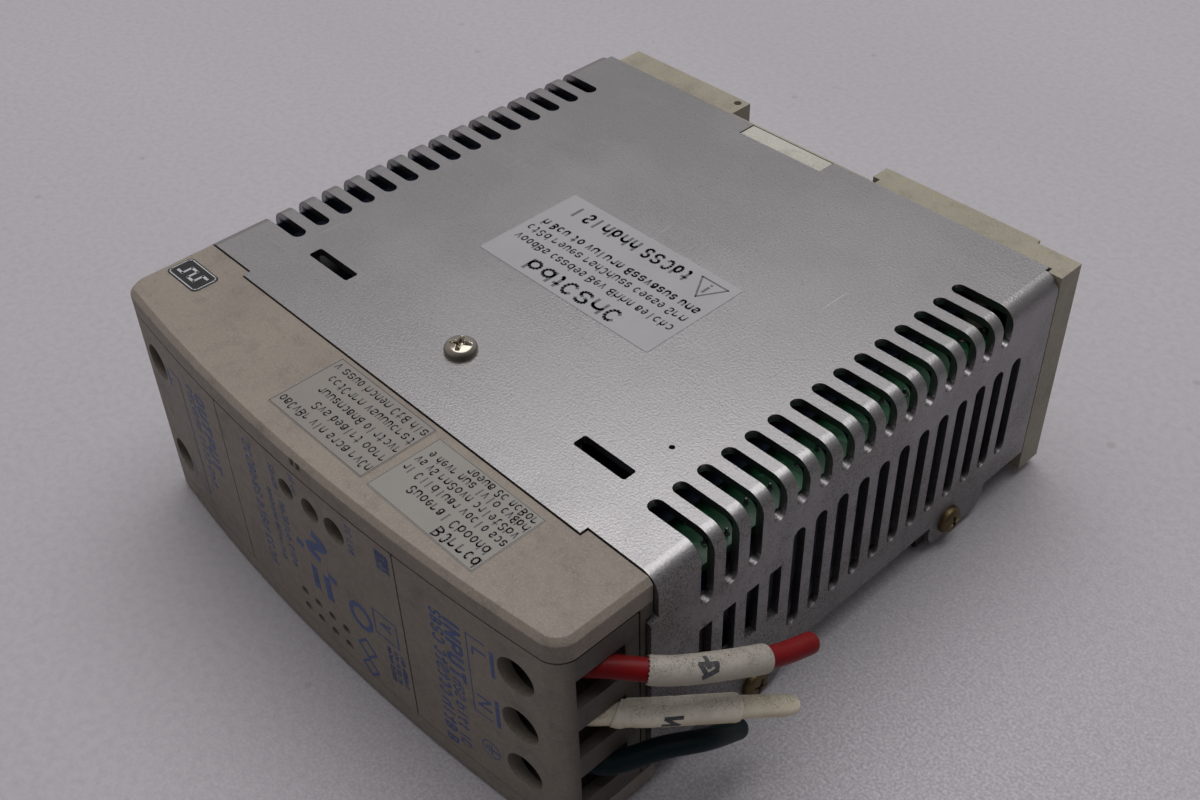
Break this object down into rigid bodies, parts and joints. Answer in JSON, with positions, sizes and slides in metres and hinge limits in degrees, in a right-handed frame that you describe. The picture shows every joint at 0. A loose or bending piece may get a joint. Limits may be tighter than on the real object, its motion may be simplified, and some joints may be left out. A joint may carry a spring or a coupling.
{
  "type": "DIN rail power supply",
  "caption": "Slim mains power supply for a 35 mm DIN rail: slotted metal cover, curved plastic front with screw terminals, sprung rail latch and cut wire stubs.",
  "frame": {"origin": "centre of the bounding box of everything but the cut wires, at its lowest level, with the unit lying on its plain side", "axes": "+X along the wiring direction towards the mains terminals, +Y from the curved front to the rail face, +Z across the width towards the side with the slotted cover"},
  "size_m": [0.132, 0.1264, 0.0494],
  "materials": {
    "cover_aluminium": "satin brushed sheet",
    "front_plastic": "beige-grey moulded plastic, fine grain",
    "rear_plastic": "yellowed cream moulded plastic",
    "latch_plastic": "black moulded plastic",
    "spring_steel": "drawn spring wire",
    "retainer_plastic": "cream plastic",
    "board_laminate": "green solder mask",
    "film": "dark insulating film",
    "ferrite": "sintered ferrite",
    "copper_winding": "lacquered copper wire",
    "capacitor_sleeve": "shrink sleeve",
    "x_capacitor_case": "moulded case",
    "fuse_body": "ceramic tube",
    "clip_metal": "tinned brass strip",
    "device_epoxy": "moulded epoxy",
    "heat_sink": "extruded, plain",
    "varistor_coat": "epoxy coated disc",
    "lamp_green": "tinted lens",
    "lamp_red": "tinted lens",
    "trimmer_case": "moulded case",
    "trimmer_nylon": "nylon",
    "terminal_steel": "yellow zinc plated steel",
    "screw_zinc": "zinc plated steel",
    "label_film": "clear frosted film",
    "label_paper": "printed label stock",
    "badge_black": "black printed patch",
    "insulation_red": "PVC insulation",
    "insulation_white": "PVC insulation",
    "insulation_green": "PVC insulation",
    "sleeve_white": "marker sleeve, dirty",
    "strand_copper": "stranded copper"
  },
  "bodies": {
    "chassis": {"side_cover": "cover_aluminium", "base_plate": "cover_aluminium", "bezel_frame": "front_plastic", "input_block": "front_plastic", "output_block": "front_plastic", "front_plate": "front_plastic", "rear_moulding": "rear_plastic", "latch_spring": "spring_steel", "rear_retainer": "retainer_plastic", "main_pcb": "board_laminate", "insulator_top": "film", "insulator_liner": "film", "pcb_spacers": "retainer_plastic", "transformer_core": "ferrite", "transformer_winding": "copper_winding", "common_mode_choke": "copper_winding", "output_choke": "copper_winding", "bulk_capacitor": "capacitor_sleeve", "output_capacitors": "capacitor_sleeve", "x_capacitor": "x_capacitor_case", "fuse": "fuse_body", "fuse_clips": "clip_metal", "bridge_rectifier": "device_epoxy", "primary_heat_sink": "heat_sink", "secondary_heat_sink": "heat_sink", "power_transistor": "device_epoxy", "output_rectifier": "device_epoxy", "varistor": "varistor_coat", "control_board": "board_laminate", "led_dc_ok": "lamp_green", "led_dc_low": "lamp_red", "trimmer_body": "trimmer_case", "input_plates": "clip_metal", "output_plates": "clip_metal", "cover_screw": "screw_zinc", "end_screws": "screw_zinc", "caution_label": "label_film", "bezel_label_a": "label_paper", "bezel_label_b": "label_paper", "badge": "badge_black", "red_wire": "insulation_red", "white_wire": "insulation_white", "green_wire": "insulation_green", "red_sleeve": "sleeve_white", "white_sleeve": "sleeve_white", "bare_ends": "strand_copper"},
    "latch": {"din_latch": "latch_plastic"},
    "trimmer": {"trimmer_rotor": "trimmer_nylon"},
    "clamp_live": {"washer_live": "terminal_steel"},
    "driver_live": {"screw_live": "terminal_steel"},
    "clamp_neutral": {"washer_neutral": "terminal_steel"},
    "driver_neutral": {"screw_neutral": "terminal_steel"},
    "clamp_earth": {"washer_earth": "terminal_steel"},
    "driver_earth": {"screw_earth": "terminal_steel"},
    "clamp_plus": {"washer_plus": "terminal_steel"},
    "driver_plus": {"screw_plus": "terminal_steel"},
    "clamp_minus": {"washer_minus": "terminal_steel"},
    "driver_minus": {"screw_minus": "terminal_steel"}
  },
  "joints": [
    {"name": "latch_slide", "type": "slide", "parent": "chassis", "child": "latch", "axis": [-1, 0, 0], "range_m": [0, 0.0032], "stiffness_N_per_m": 2500, "springref_m": -0.003, "deforming": ["latch_spring"]},
    {"name": "trimmer_turn", "type": "hinge", "parent": "chassis", "child": "trimmer", "pos_m": [0.0093, -0.059, 0.037], "axis": [0, -1, 0], "range_deg": [-135, 135]},
    {"name": "live_clamp_lift", "type": "slide", "parent": "chassis", "child": "clamp_live", "axis": [0, -1, 0], "range_m": [0, 0.0012]},
    {"name": "live_screw_turn", "type": "hinge", "parent": "clamp_live", "child": "driver_live", "pos_m": [0.0484, -0.0555, 0.03498], "axis": [0, -1, 0], "range_deg": [0, 720]},
    {"name": "neutral_clamp_lift", "type": "slide", "parent": "chassis", "child": "clamp_neutral", "axis": [0, -1, 0], "range_m": [0, 0.0012]},
    {"name": "neutral_screw_turn", "type": "hinge", "parent": "clamp_neutral", "child": "driver_neutral", "pos_m": [0.0484, -0.0555, 0.02365], "axis": [0, -1, 0], "range_deg": [0, 720]},
    {"name": "earth_clamp_lift", "type": "slide", "parent": "chassis", "child": "clamp_earth", "axis": [0, -1, 0], "range_m": [0, 0.0012]},
    {"name": "earth_screw_turn", "type": "hinge", "parent": "clamp_earth", "child": "driver_earth", "pos_m": [0.0484, -0.0555, 0.01232], "axis": [0, -1, 0], "range_deg": [0, 720]},
    {"name": "plus_clamp_lift", "type": "slide", "parent": "chassis", "child": "clamp_plus", "axis": [0, -1, 0], "range_m": [0, 0.0012]},
    {"name": "plus_screw_turn", "type": "hinge", "parent": "clamp_plus", "child": "driver_plus", "pos_m": [-0.0484, -0.0555, 0.03498], "axis": [0, -1, 0], "range_deg": [0, 720]},
    {"name": "minus_clamp_lift", "type": "slide", "parent": "chassis", "child": "clamp_minus", "axis": [0, -1, 0], "range_m": [0, 0.0012]},
    {"name": "minus_screw_turn", "type": "hinge", "parent": "clamp_minus", "child": "driver_minus", "pos_m": [-0.0484, -0.0555, 0.01232], "axis": [0, -1, 0], "range_deg": [0, 720]}
  ],
  "couplings": [
    {"joint": "live_screw_turn", "follows": "live_clamp_lift", "rad_per_m": 10470},
    {"joint": "neutral_screw_turn", "follows": "neutral_clamp_lift", "rad_per_m": 10470},
    {"joint": "earth_screw_turn", "follows": "earth_clamp_lift", "rad_per_m": 10470},
    {"joint": "plus_screw_turn", "follows": "plus_clamp_lift", "rad_per_m": 10470},
    {"joint": "minus_screw_turn", "follows": "minus_clamp_lift", "rad_per_m": 10470}
  ]
}
